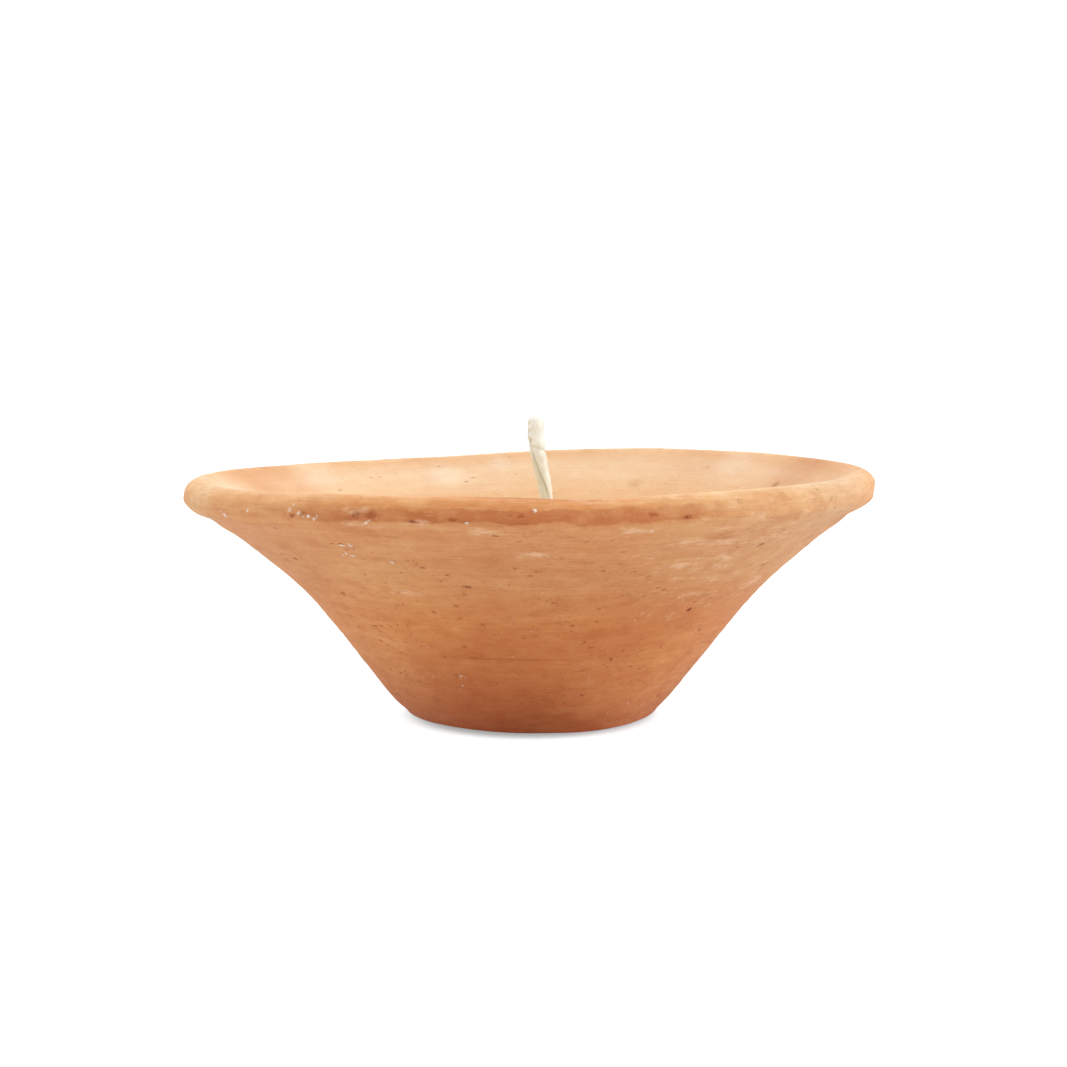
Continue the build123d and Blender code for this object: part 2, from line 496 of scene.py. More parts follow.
def wax_height(place, wick, from_edge, share):
    """How high the wax stands at a place: dished, rippled, and drawn up at the clay and the wick."""
    from_wick = (place - wick).xy.length
    dish = -DISH_DEPTH * (1 - smooth(0.1, 0.9, share))
    climb = WAX_CLIMB * math.exp(-from_edge / (1.5 * MM))
    climb += WICK_CLIMB * math.exp(-max(from_wick - WICK_RADIUS, 0) / (0.8 * MM))
    ripple = 0.10 * noise.noise(place / (8 * MM)) + 0.02 * noise.noise(place / (1.6 * MM))
    return wick.z + dish + climb + ripple * smooth(0, 1.5 * MM, from_edge) * MM


def build_wax(clay):
    """The set wax: its top meets the uneven clay, and the rest fills the bowl below."""
    clay_surface = surface_of(clay)
    wick = wick_centre(wax_high[2] - WAX_CLIMB)
    edge_height = Vector((0, 0, wax_high[2]))
    hidden_below = wax_high[2] - 2 * WAX_CLIMB
    hidden_rows = [row for row in range(inside_row, len(section)) if section[row].y < hidden_below]
    points, faces = [], []
    for step in range(WAX_STEPS_AROUND):
        turn = 2 * math.pi * step / WAX_STEPS_AROUND
        out = Vector((math.cos(turn), math.sin(turn), 0))
        edge = clay_surface.ray_cast(edge_height, out)[0]
        for ring in range(1, WAX_RINGS + 1):
            share = ring / WAX_RINGS
            place = Vector((lerp(wick.x, edge.x, share), edge.y * share, 0))
            place.z = wax_height(place, wick, edge.xy.length - place.length, share)
            points.append(place)
        points.append(place + out * WAX_TUCK + Vector((0, 0, WAX_TUCK / 2)))
        for row in hidden_rows:
            radius, height = section[row]
            points.append(out * max(radius - WAX_GAP, WAX_GAP) + Vector((0, 0, height + WAX_GAP)))
    rows = WAX_RINGS + 1 + len(hidden_rows)
    points.append(wick)
    points.append(Vector((0, 0, section[-1].y + WAX_GAP)))
    for step in range(WAX_STEPS_AROUND):
        this, other = step * rows, (step + 1) % WAX_STEPS_AROUND * rows
        faces.append((len(points) - 2, this, other))
        for row in range(rows - 1):
            faces.append((this + row, this + row + 1, other + row + 1, other + row))
        faces.append((this + rows - 1, len(points) - 1, other + rows - 1))
    return make_object("wax_set", points, faces)


# ---------------- wick

PLY_STEPS = 48
PLY_ROWS = 300
LAY = 33 * MM  # length of one turn of the twist along most of the wick
TIP_LAY = 60 * MM
TIP_FROM = 5 * MM  # the twist slackens this far below the tip
TURN_THERE = -53  # degrees, the first ply's direction where the twist slackens
PLY_MIDDLE = 0.45  # shares of the wick's radius
PLY_FLAT = 0.012
PLY_CORNER = 14  # how sharp a ply's corners are
VALLEY = 0.13  # how deep the wick is hollowed along the joint, in shares of its radius
VALLEY_WIDTH = 27  # degrees
TIP_ROUNDING = 1.0 * MM
CREASE_BELOW = 4.6 * MM  # a crease round the wick under its bulging head
# Dents in the head, as (angle, depth below the tip, width round, height, depth in shares of the radius)
HEAD_DENTS = [
    (-155, 1.0, 26, 0.35, 0.22), (-150, 2.1, 30, 0.45, 0.20), (-148, 3.5, 30, 0.40, 0.24),
    (-60, 2.6, 40, 1.2, 0.05),
]


def twist_at(height):
    """The first ply's direction at a height, in degrees. It turns clockwise going up."""
    above = height - (wick_top - TIP_FROM)
    return TURN_THERE - 360 * above / (TIP_LAY if above > 0 else LAY)


def ply_reach(turn):
    """How far a half-round ply's surface lies from its middle, in shares of the wick's radius."""
    x, y = math.cos(turn), math.sin(turn)
    to_round = math.sqrt(1 - (PLY_MIDDLE * y) ** 2) - PLY_MIDDLE * x
    to_flat = (PLY_MIDDLE - PLY_FLAT) / max(-x, 1e-3)
    return (to_round ** -PLY_CORNER + to_flat ** -PLY_CORNER) ** (-1 / PLY_CORNER)


def wick_size(below):
    """The wick's radius at a depth below the tip: a bulging head and a thinner stem."""
    stem = lerp(1.0, 0.84, smooth(5.5 * MM, 12 * MM, below))
    head = 0.10 * (1 - smooth(CREASE_BELOW - 0.7 * MM, CREASE_BELOW + 0.3 * MM, below))
    return WICK_RADIUS * (stem + head)


def head_dents(around, below):
    """The share of the radius lost to dents and to the crease under the head."""
    lost = 0
    for angle, depth, width, tall, share in HEAD_DENTS:
        lost += share * hump(turn_between(around, angle), 0, width) * hump(below, depth * MM, tall * MM)
    slanted = below - CREASE_BELOW - 0.55 * MM * math.cos(math.radians(around))
    return lost + 0.10 * hump(slanted, 0, 0.3 * MM)


def build_ply(name, node, start, painted_ply_shade):
    """One waxed cotton ply from the sustainer to the rounded tip."""
    points, faces, hollows = [], [], []
    phase = random.uniform(0, 9)
    top = wick_top - (0 if start == 0 else 0.35 * MM)
    for row in range(PLY_ROWS + 1):
        height = lerp(wick_foot, top, 1 - (1 - row / PLY_ROWS) ** 1.5)
        below = top - height
        close = math.sqrt(max(1 - (1 - below / TIP_ROUNDING) ** 2, 0.02)) if below < TIP_ROUNDING else 1
        close = lerp(0.3, 1, close)
        direction = start + twist_at(height)
        cosine, sine = math.cos(math.radians(direction)), math.sin(math.radians(direction))
        in_stem = smooth(3.5 * MM, 6 * MM, wick_top - height)
        centre = wick_centre(height)
        for step in range(PLY_STEPS):
            local = 2 * math.pi * step / PLY_STEPS
            fibre = math.sin(9 * local + height / (1.1 * MM) + phase)
            ring = Vector((math.cos(local), math.sin(local), height / (1.3 * MM) + phase))
            swell = 1 + 0.016 * fibre + 0.05 * noise.noise(ring * 1.1) + 0.03 * noise.noise(ring * 2.7)
            reach = ply_reach(local) * (swell if math.cos(local) > -0.3 else 1)
            x, y = PLY_MIDDLE + reach * close * math.cos(local), reach * close * math.sin(local)
            aside = math.degrees(math.atan2(y, x))
            valley = VALLEY * hump(abs(aside), 90, VALLEY_WIDTH) * in_stem
            dent = (head_dents(direction + aside, wick_top - height) + valley) * math.hypot(x, y)
            size = wick_size(wick_top - height) * (1 - dent)
            out = Vector((x * cosine - y * sine, x * sine + y * cosine, 0))
            points.append(centre + out * size)
            hollows.append(dent)
    for row in range(PLY_ROWS):
        for step in range(PLY_STEPS):
            a, b = row * PLY_STEPS + step, row * PLY_STEPS + (step + 1) % PLY_STEPS
            faces.append((a, b, b + PLY_STEPS, a + PLY_STEPS))
    for first, flip in ((0, True), (PLY_ROWS * PLY_STEPS, False)):
        points.append(sum(points[first:first + PLY_STEPS], Vector()) / PLY_STEPS)
        hollows.append(0)
        for step in range(PLY_STEPS):
            a, b = first + step, first + (step + 1) % PLY_STEPS
            faces.append((len(points) - 1, b, a) if flip else (len(points) - 1, a, b))
    obj = make_object(name, points, faces)
    store(obj, "painted_ply_shade", [painted_ply_shade] * len(points))
    # How deep the dents, the crease and the joint's valley are, for the cotton's painted shade
    store(obj, "hollow", hollows)
    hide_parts(node)
    return obj


# ---------------- materials

class Graph:
    """The nodes of a material or a world, with short calls for the ones used here."""

    def __init__(self, owner):
        owner.use_nodes = True
        self.owner = owner
        self.tree = owner.node_tree
        self.tree.nodes.clear()

    def node(self, kind, settings=None, **inputs):
        node = self.tree.nodes.new(kind)
        for key, value in (settings or {}).items():
            setattr(node, key, value)
        for key, value in inputs.items():
            self.plug(node.inputs[key.replace("_", " ")], value)
        return node

    def plug(self, socket, value):
        if isinstance(value, bpy.types.NodeSocket):
            self.tree.links.new(value, socket)
        else:
            socket.default_value = value

    def attribute(self, name, output="Fac"):
        return self.node("ShaderNodeAttribute", {"attribute_name": name}).outputs[output]

    def place(self):
        return self.node("ShaderNodeTexCoord").outputs["Object"]

    def scaled(self, vector, factors):
        return self.node("ShaderNodeMapping", Vector=vector, Scale=factors).outputs["Vector"]

    def noise(self, vector, scale, detail=2.0, roughness=0.5):
        inputs = {"Vector": vector, "Scale": scale, "Detail": detail, "Roughness": roughness}
        return self.node("ShaderNodeTexNoise", **inputs).outputs["Fac"]

    def span(self, value, low, high, to_low=0.0, to_high=1.0, linear=False):
        """Maps low..high to another range, along an S curve unless it is linear, held at its ends."""
        kind = "LINEAR" if linear else "SMOOTHSTEP"
        node = self.node("ShaderNodeMapRange", {"interpolation_type": kind}, Value=value)
        for key, number in (("From Min", low), ("From Max", high), ("To Min", to_low), ("To Max", to_high)):
            node.inputs[key].default_value = number
        return node.outputs["Result"]

    def math(self, operation, a, b=0.0):
        node = self.node("ShaderNodeMath", {"operation": operation})
        self.plug(node.inputs[0], a)
        self.plug(node.inputs[1], b)
        return node.outputs[0]

    def times(self, a, b):
        return self.math("MULTIPLY", a, b)

    def mix(self, share, a, b, blend="MIX"):
        node = self.node("ShaderNodeMix", {"data_type": "RGBA", "blend_type": blend})
        self.plug(node.inputs[0], share)
        for socket, value in ((node.inputs[6], a), (node.inputs[7], b)):
            self.plug(socket, value if isinstance(value, bpy.types.NodeSocket) else (*value, 1))
        return node.outputs[2]

    def tone(self, colour, share, factors):
        """The colour multiplied by factors, as far as the share says."""
        return self.mix(share, colour, factors, "MULTIPLY")

    def ramp(self, value, stops):
        node = self.node("ShaderNodeValToRGB", Fac=value)
        elements = node.color_ramp.elements
        for index, (position, colour) in enumerate(stops):
            element = elements[index] if index < 2 else elements.new(position)
            element.position = position
            element.color = (*colour, 1)
        return node.outputs["Color"]

    def vector_math(self, operation, *values):
        node = self.node("ShaderNodeVectorMath", {"operation": operation})
        for socket, value in zip(node.inputs, values):
            self.plug(socket, value)
        return node.outputs["Value" if operation == "DISTANCE" else "Vector"]

    def near(self, vector, centre, radius, softness=0.6):
        """1 within a radius of a point, fading to 0 round it."""
        away = self.vector_math("DISTANCE", vector, centre)
        return self.span(away, radius * softness, radius * (2 - softness), 1.0, 0.0)

    def finish(self, colour, roughness, height, **more):
        """Joins the layers into one surface. The height is in metres."""
        bump = self.node("ShaderNodeBump", Strength=1.0, Distance=1.0, Height=height)
        surface = self.node("ShaderNodeBsdfPrincipled", Roughness=roughness, Normal=bump.outputs["Normal"])
        self.plug(surface.inputs["Base Color"], colour)
        for key, value in more.items():
            self.plug(surface.inputs[key.replace("_", " ")], value)
        output = self.node("ShaderNodeOutputMaterial")
        self.tree.links.new(surface.outputs["BSDF"], output.inputs["Surface"])
        return self.owner


def on_bowl(angle, radius, height):
    """A point on the bowl, from an angle in degrees and lengths in millimetres."""
    turn = math.radians(angle)
    return (radius * math.cos(turn) * MM, radius * math.sin(turn) * MM, height * MM)


# Tones that multiply the clay's own colour
PALER = (1.10, 1.28, 1.48)
RUDDIER = (0.88, 0.72, 0.60)
DARKER = (0.72, 0.60, 0.52)
# Broad patches of tone, as (angle, radius, height, reach, factors) with lengths in millimetres. Some are
# painted light and shade, as marked below.
PATCHES = [
    (-38, 49, 33, 15, (1.02, 1.17, 1.36)),
    (180, 49, 33, 9, (1.03, 1.13, 1.24)),
    # Painted shade on the inside wall at the left, two patches
    (168, 44.5, 32.5, 6, (0.90, 0.74, 0.62)),
    (155, 42.5, 31, 7, (0.90, 0.76, 0.65)),
    # Painted shade on the inside wall at the right
    (12, 44, 31, 14, (0.86, 0.72, 0.62)),
    (48, 43, 31, 8, (0.95, 0.89, 0.85)),
    (-34, 50, 34.5, 7, (0.95, 0.98, 1.06)),
    (-66, 50, 33.5, 6, (1.04, 1.17, 1.26)),
    (-122, 34, 19, 9, (1.10, 1.20, 1.26)),
    # Painted light on the low left and right sides, then painted shade low in front
    (-155, 25, 8, 12, (1.20, 1.44, 1.62)),
    (-42, 22.5, 4, 11, (1.18, 1.42, 1.50)),
    (-88, 21, 3, 5, (0.93, 0.91, 0.84)),
    (-154, 50, 33, 4, (1.02, 1.18, 1.36)),
    (110, 42.4, 32.0, 2.6, (1.04, 1.17, 1.36)),
    (97, 45.1, 33.5, 1.6, (1.04, 1.16, 1.34)),
    (143, 45.8, 34.3, 4.0, (1.04, 1.13, 1.26)),
    (41.5, 45.4, 34.8, 3.0, (1.04, 1.16, 1.34)),
    (21, 45.2, 34.5, 5.0, (0.94, 0.88, 0.86)),
    (23, 41.7, 32.1, 0.7, (0.70, 0.56, 0.48)),
    (64, 39.9, 30.4, 1.1, (0.88, 0.82, 0.76)),
]
# Dusty places where pale slip was smeared on, as (angle, radius, height, reach, strength)
DUSTY = [
    (-52, 42, 27, 17, 1.0), (-140, 44, 27, 13, 0.6), (-80, 48, 31, 7, 0.6), (-178, 30, 16, 10, 0.5),
    (105, 43.5, 32.5, 5, 0.8), (143, 45.8, 34.3, 5, 0.7), (42, 45, 34.5, 4, 0.8), (55, 39, 30, 6, 0.6),
]
# Single marks on the outside, as (angle, height, reach): rubbed slip, chips of lime and ruddy iron spots
SMEARS = [
    (-89.1, 28.0, 0.75), (-117.0, 21.9, 0.9), (-97.0, 31.4, 0.6), (-64.5, 29.4, 0.8),
    (-59.8, 29.1, 0.7), (-55.3, 29.2, 0.9), (-44.8, 29.4, 0.8), (-62.2, 25.7, 0.7),
    (-53.5, 27.0, 0.8), (-114.9, 31.9, 0.7), (-115.3, 33.8, 0.5), (-104.8, 32.1, 0.6),
    (-74.9, 31.2, 0.7), (-34.5, 22.0, 1.0), (-81.0, 35.4, 0.8), (-68.0, 35.5, 0.9),
]
FLECKS = [
    (-127.2, 33.5, 0.24), (-126.6, 33.9, 0.14), (-125.3, 33.0, 0.26), (-124.4, 32.8, 0.18),
    (-123.6, 32.6, 0.2), (-122.6, 32.5, 0.2), (-121.9, 32.8, 0.13), (-143.5, 31.8, 0.3),
    (-144.4, 32.0, 0.16), (-114.9, 26.6, 0.2), (-89.4, 34.3, 0.2), (-121.6, 28.7, 0.22),
    (-120.4, 29.1, 0.15), (-121.4, 8.9, 0.18), (-98.8, 32.6, 0.17), (-113.9, 32.2, 0.18),
    (-113.2, 32.5, 0.12), (-136.5, 32.9, 0.16), (-30.0, 12.0, 0.2), (-62.0, 8.0, 0.18),
    (-145.5, 12.5, 0.22), (-129.8, 13.4, 0.16), (-118.5, 13.8, 0.17), (-93.9, 18.7, 0.16),
    (-94.8, 12.9, 0.15), (-109.8, 9.3, 0.17), (-72.1, 9.4, 0.2), (-59.6, 3.0, 0.22),
    (-141.4, 6.6, 0.2), (-141.0, 5.1, 0.22), (-60.2, 13.1, 0.16), (-34.8, 11.9, 0.22),
    (-122.2, 28.6, 0.26), (-122.9, 27.6, 0.22), (-120.4, 28.7, 0.28), (-122.0, 27.2, 0.26),
    (-124.1, 27.1, 0.22), (-114.6, 26.6, 0.22),
]
SPOTS = [
    (-92.5, 26.1, 0.26), (-88.8, 25.7, 0.24), (-90.2, 25.0, 0.24), (-85.1, 20.9, 0.24),
    (-75.1, 20.0, 0.3), (-50.5, 18.9, 0.34), (-74.6, 17.8, 0.24), (-80.3, 17.5, 0.26),
    (-39.7, 15.0, 0.28), (-76.4, 14.9, 0.3), (-74.3, 14.1, 0.24), (-67.1, 12.1, 0.26),
    (-50.6, 19.9, 0.26), (-77.2, 25.8, 0.26), (-42.7, 24.7, 0.2), (-72.6, 33.6, 0.3),
    (-91.3, 33.7, 0.26), (-52.3, 13.2, 0.22), (-140.4, 15.6, 0.24), (-121.3, 16.7, 0.24),
    (-112.1, 19.3, 0.28), (-106.0, 20.2, 0.32), (-103.3, 22.2, 0.26), (-102.7, 23.3, 0.3),
    (-101.1, 17.4, 0.3), (-107.3, 13.9, 0.26), (-114.3, 12.2, 0.24), (-107.1, 24.1, 0.24),
    (-123.0, 24.2, 0.22), (-143.3, 25.9, 0.3), (-100.7, 32.9, 0.28), (-123.7, 28.8, 0.24),
    (-121.8, 28.0, 0.26), (-112.8, 33.2, 0.5), (-124.6, 33.2, 0.34),
]


def clay_colour_with_painted_light(g, along):
    """The clay's colour along the section: deep orange at the foot, buff at the lip, paler inside. The
    darker orange towards the foot is partly painted shade, and the paler inside is partly painted
    highlight.
    """
    end = lengths[-1] / MM
    foot, lip, inside = lengths[outside_row] / MM, lengths[lip_row] / MM, lengths[inside_row] / MM
    stops = [
        (foot, (0.565, 0.150, 0.043)),
        (lerp(foot, lip, 0.10), (0.555, 0.158, 0.046)),
        (lerp(foot, lip, 0.32), (0.605, 0.200, 0.055)),
        (lerp(foot, lip, 0.52), (0.630, 0.225, 0.064)),
        (lerp(foot, lip, 0.75), (0.630, 0.272, 0.094)),
        (lip, (0.630, 0.265, 0.092)),
        (lerp(lip, inside, 0.35), (0.67, 0.300, 0.108)),
        (lerp(lip, inside, 0.58), (0.71, 0.350, 0.135)),
        (lerp(lip, inside, 0.80), (0.75, 0.420, 0.195)),
        (inside + 3, (0.825, 0.580, 0.365)),
        (inside + 6, (0.820, 0.565, 0.340)),
        (inside + 10, (0.800, 0.505, 0.270)),
    ]
    return g.ramp(g.span(along, 0, end, linear=True), [(place / end, colour) for place, colour in stops])


def clay_tones(g, colour, place, turned, unevenness):
    """Blotches, streaks, grain and broad patches over the clay's colour, some patches being painted light
    and shade. Also returns parts of its relief.
    """
    blotches = g.noise(place, 95, 3.0, 0.55)
    ruddy = g.noise(g.scaled(place, (1.0, 1.0, 1.7)), 150, 2.0, 0.5)
    mottle = g.noise(g.scaled(place, (1.0, 1.0, 1.6)), 420, 3.0, 0.65)
    streaks = g.noise(g.scaled(turned, (4.0, 4.0, 0.8)), 0.9, 3.0, 0.6)
    fine_streaks = g.noise(g.scaled(turned, (14.0, 14.0, 3.0)), 0.9, 2.0, 0.6)
    grain = g.noise(place, 2400, 2.0, 0.7)
    layers = [
        (g.span(blotches, 0.42, 0.70, 0.0, 0.50), PALER),
        (g.span(ruddy, 0.52, 0.72, 0.0, 0.55), RUDDIER),
        (g.span(mottle, 0.50, 0.75, 0.0, 0.5), RUDDIER),
        (g.span(mottle, 0.50, 0.28, 0.0, 0.4), PALER),
        (g.span(streaks, 0.40, 0.66, 0.0, 0.45), PALER),
        (g.span(fine_streaks, 0.52, 0.78, 0.0, 0.40), DARKER),
        (g.span(grain, 0.35, 0.75, 0.0, 0.30), PALER),
    ]
    for angle, radius, height, reach, factors in PATCHES:
        colour = g.tone(colour, g.near(place, on_bowl(angle, radius, height), reach * MM, 0.2), factors)
    for share, factors in layers:
        colour = g.tone(colour, g.times(share, unevenness), factors)
    return colour, blotches, fine_streaks, grain


# Where the band of painted shade on the lip drops or rises, as (angle, reach, millimetres lower)
BAND_SHIFTS = [(-113, 9, 0.40), (-73, 6, -0.25)]


# Tones of the pressed lip; the band's tone is painted shade
BAND_SHADE_TONE = (0.80, 0.56, 0.45)
ABOVE_BAND_TONE = (0.93, 0.74, 0.58)
RUBBED_TONE = (0.82, 0.62, 0.44)


def lip_front_with_painted_shade(g, colour, along, place):
    """The front of the lip: a ruddy band of painted shade on its pressed outer face, and bright orange
    above it.
    """
    wave = g.span(g.noise(place, 160, 4.0, 0.65), 0.3, 0.7, -0.40, 0.40)
    level = g.math("ADD", along, wave)
    for angle, reach, lower in BAND_SHIFTS:
        shift = g.times(g.near(place, on_bowl(angle, 50, 33.5), reach * MM, 0.3), lower)
        level = g.math("ADD", level, shift)
    low, high, crest = (lengths[lip_row_at(degrees)] / MM for degrees in (-12, 31, 108))
    above_low = g.span(level, low - 0.30, low + 0.25)
    above_high = g.span(level, high - 0.18, high + 0.18)
    at_front = g.near(place, on_bowl(-92, 50, 33), 0.024, 0.4)
    band = g.times(g.math("SUBTRACT", above_low, above_high), at_front)
    patchy = g.span(g.noise(g.scaled(place, (1.0, 1.0, 1.6)), 260, 3.0, 0.6), 0.35, 0.62, 0.72, 1.15)
    # The band is painted shade
    colour = g.tone(colour, g.times(band, patchy), BAND_SHADE_TONE)
    below_crest = g.span(along, crest - 1.2, crest + 0.8, 1.0, 0.0)
    top = g.times(g.times(above_high, below_crest), at_front)
    streaks = g.noise(g.scaled(place, (0.12, 0.12, 1.0)), 2200, 3.0, 0.6)
    streaky = g.span(streaks, 0.35, 0.65, 0.35, 1.0)
    colour = g.tone(colour, g.times(top, streaky), ABOVE_BAND_TONE)
    rubbed_from, rubbed_to = (lengths[lip_row_at(degrees)] / MM for degrees in (70, 80))
    rubbed = g.span(along, rubbed_from, rubbed_to)
    in_front = g.near(place, on_bowl(-89, 48, 35), 0.009, 0.5)
    return g.tone(colour, g.times(rubbed, in_front), RUBBED_TONE)


def wiggled(g, vector, amount, scale):
    """A vector shifted by noise, so that spots have uneven outlines."""
    shift = g.node("ShaderNodeTexNoise", Vector=vector, Scale=scale, Detail=2.0).outputs["Color"]
    centred = g.vector_math("SUBTRACT", shift, (0.5, 0.5, 0.5))
    return g.vector_math("MULTIPLY_ADD", centred, (amount, amount, amount), vector)


def scattered(g, vector, chance, small, large):
    """Spots in a few cells of space. The vector is in cells, and chance is a number or a socket."""
    cells = g.node("ShaderNodeTexVoronoi", Vector=vector, Scale=1.0)
    dice = g.node("ShaderNodeSeparateColor", Color=cells.outputs["Color"])
    chosen = g.math("GREATER_THAN", dice.outputs["Red"], g.math("SUBTRACT", 1.0, chance))
    size = g.span(dice.outputs["Green"], 0.0, 1.0, small, large)
    fill = g.math("DIVIDE", cells.outputs["Distance"], size)
    return g.times(chosen, g.span(fill, 0.55, 1.0, 1.0, 0.0))


def single_marks(g, turned, marks, stretch, raggedness, grain):
    """1 at each mark, fading to 0 round it. The stretch lengthens marks round the bowl."""
    scale = rim_radius / MM / stretch
    space = wiggled(g, g.scaled(turned, (scale, scale, 1.0)), raggedness, grain)
    found = 0.0
    for angle, height, reach in marks:
        turn = math.radians(angle)
        up = lengths[outside_row_at(angle, height)] / MM
        centre = (scale * math.cos(turn), scale * math.sin(turn), up)
        found = g.math("MAXIMUM", found, g.near(space, centre, reach, 0.35))
    return found


def smears(g, place, turned):
    """Pale slip rubbed along the throwing direction, mostly in the dusty places."""
    dusty = 0.0
    for angle, radius, height, reach, strength in DUSTY:
        cloud = g.near(place, on_bowl(angle, radius, height), reach * MM, 0.3)
        dusty = g.math("MAXIMUM", dusty, g.times(cloud, strength))
    patchy = g.noise(g.scaled(turned, (13.0, 13.0, 0.55)), 1.0, 5.0, 0.75)
    over = g.math("SUBTRACT", patchy, g.span(dusty, 0.0, 1.0, 0.74, 0.52))
    wisps = g.span(g.noise(g.scaled(turned, (22.0, 22.0, 1.6)), 1.0, 3.0, 0.7), 0.40, 0.58, 0.1, 1.0)
    single = g.times(single_marks(g, turned, SMEARS, 3.2, 2.4, 1.1), wisps)
    return g.math("MAXIMUM", g.span(over, 0.0, 0.15, 0.0, 0.75), single)


# Colours of the marks on the clay, and tones that multiply what is under them
SLIP_OUTSIDE = (0.88, 0.62, 0.40)
SLIP_INSIDE = (0.96, 0.79, 0.62)
SLIP_SHARE = 0.53
SPECK = (0.90, 0.78, 0.66)
FLECK = (0.95, 0.84, 0.72)
# Painted shade in the hollows
HOLLOW_SHADE_TONE = (0.80, 0.60, 0.46)
# Painted shade in the pits and in the pores, coarse then fine
PIT_SHADE_TONE = (0.66, 0.46, 0.36)
FINE_PORE_SHADE_TONE = (0.66, 0.48, 0.40)
SPOT_TONE = (0.70, 0.46, 0.34)
FOOT_EDGE_TONE = (1.15, 0.75, 0.6)


def terracotta():
    """Unglazed clay: paler and dustier towards the rim, partly from painted shade low down, with streaks,
    smears, lime specks and pores, and painted shade in its hollows and pits.
    """
    g = Graph(bpy.data.materials.new("terracotta"))
    place = g.place()
    turned = g.attribute("turned", "Vector")
    along = g.node("ShaderNodeSeparateXYZ", Vector=turned).outputs["Z"]
    height = g.node("ShaderNodeSeparateXYZ", Vector=place).outputs["Z"]
    lip, inside = lengths[lip_row] / MM, lengths[inside_row] / MM
    outside = g.span(along, inside - 2, inside, 1.0, 0.25)
    unevenness = g.span(along, inside - 2, inside + 1, 1.0, 0.4)
    on_wall = g.span(along, lip, lip + 4, 1.0, 0.15)

    # The clay's colour, with painted shade towards the foot and painted highlight inside
    colour = clay_colour_with_painted_light(g, along)
    colour, blotches, fine_streaks, grain = clay_tones(g, colour, place, turned, unevenness)
    colour = lip_front_with_painted_shade(g, colour, along, place)
    smeared = smears(g, place, turned)
    slip = g.mix(outside, SLIP_INSIDE, SLIP_OUTSIDE)
    colour = g.mix(g.times(smeared, SLIP_SHARE), colour, slip)
    # Painted shade in the throwing rings, lines and pits
    hollow = g.attribute("hollow")
    colour = g.tone(colour, g.span(hollow, -0.03, -0.22, 0.0, 0.8), HOLLOW_SHADE_TONE)

    low_side = g.math(
        "MAXIMUM", g.near(place, on_bowl(-160, 26, 9), 0.009), g.near(place, on_bowl(-20, 26, 9), 0.009)
    )
    crowd = g.times(g.math("ADD", g.times(low_side, 0.012), 0.0035), outside)
    speck_space = wiggled(g, g.scaled(place, (1700, 1700, 2200)), 1.4, 1.3)
    specks = scattered(g, speck_space, crowd, 0.22, 0.5)
    flecks = single_marks(g, turned, FLECKS, 1.2, 0.85, 3.5)
    colour = g.mix(g.times(specks, 0.65), colour, SPECK)
    brighter_above = g.span(height, 0.020, 0.031, 0.45, 0.9)
    colour = g.mix(g.times(flecks, brighter_above), colour, FLECK)

    patch = g.times(g.span(g.noise(place, 75, 2.0), 0.42, 0.66, 0.010, 0.075), on_wall)
    pore_space = wiggled(g, g.scaled(turned, (34.0, 34.0, 2.2)), 1.1, 1.2)
    pores = scattered(g, pore_space, patch, 0.14, 0.42)
    fine_space = wiggled(g, g.scaled(place, (2600, 2600, 3600)), 1.0, 1.2)
    fine_pores = scattered(g, fine_space, g.times(patch, 1.6), 0.3, 0.6)
    pits = single_marks(g, turned, PITS, 1.6, 0.6, 2.5)
    spots = single_marks(g, turned, SPOTS, 1.7, 0.8, 2.8)
    # Painted shade in the pores and pits, over their bump
    colour = g.tone(colour, g.times(pores, 0.75), PIT_SHADE_TONE)
    colour = g.tone(colour, g.times(fine_pores, 0.45), FINE_PORE_SHADE_TONE)
    colour = g.tone(colour, g.times(pits, 0.75), PIT_SHADE_TONE)
    colour = g.tone(colour, g.times(spots, 0.85), SPOT_TONE)

    edge_line = g.span(height, 0.0, 0.0009, 1.0, 0.0)
    colour = g.tone(colour, g.times(edge_line, 0.6), FOOT_EDGE_TONE)

    relief_parts = [
        (grain, 0.00003), (g.noise(place, 900, 3.0, 0.6), 0.00005), (fine_streaks, -0.00005),
        (pores, -0.00014), (fine_pores, -0.00006), (specks, 0.00005), (flecks, 0.00010),
        (smeared, 0.00003), (pits, -0.00012),
    ]
    bump = 0.0
    for part, depth in relief_parts:
        bump = g.math("ADD", bump, g.times(part, depth))
    roughness = g.span(blotches, 0.3, 0.7, 0.78, 0.95)
    return g.finish(
        colour, roughness, bump, Specular_IOR_Level=0.35, Diffuse_Roughness=0.6,
        Sheen_Weight=0.12, Sheen_Roughness=0.5, Sheen_Tint=(1.0, 0.93, 0.85, 1.0),
    )


def wax():
    """Ivory wax with a soft satin surface, faint cloudy patches and a few pinholes."""
    g = Graph(bpy.data.materials.new("wax"))
    place = g.place()
    clouds = g.noise(place, 120, 3.0, 0.5)
    colour = g.mix(g.span(clouds, 0.3, 0.7), (0.68, 0.59, 0.42), (0.73, 0.66, 0.49))
    frost = g.noise(place, 900, 3.0, 0.6)
    colour = g.mix(g.span(frost, 0.5, 0.8, 0.0, 0.4), colour, (0.78, 0.72, 0.59))
    pinholes = scattered(g, g.scaled(place, (800, 800, 800)), 0.02, 0.08, 0.2)
    colour = g.tone(colour, g.times(pinholes, 0.6), (0.70, 0.62, 0.50))
    bump = g.math("ADD", g.times(frost, 0.00002), g.times(clouds, 0.0001))
    bump = g.math("ADD", bump, g.times(pinholes, -0.0001))
    return g.finish(
        colour, g.span(clouds, 0.3, 0.7, 0.30, 0.45), bump,
        Subsurface_Weight=0.25, Subsurface_Radius=(0.0012, 0.0009, 0.0006), Subsurface_Scale=1.0,
        Specular_IOR_Level=0.40,
    )


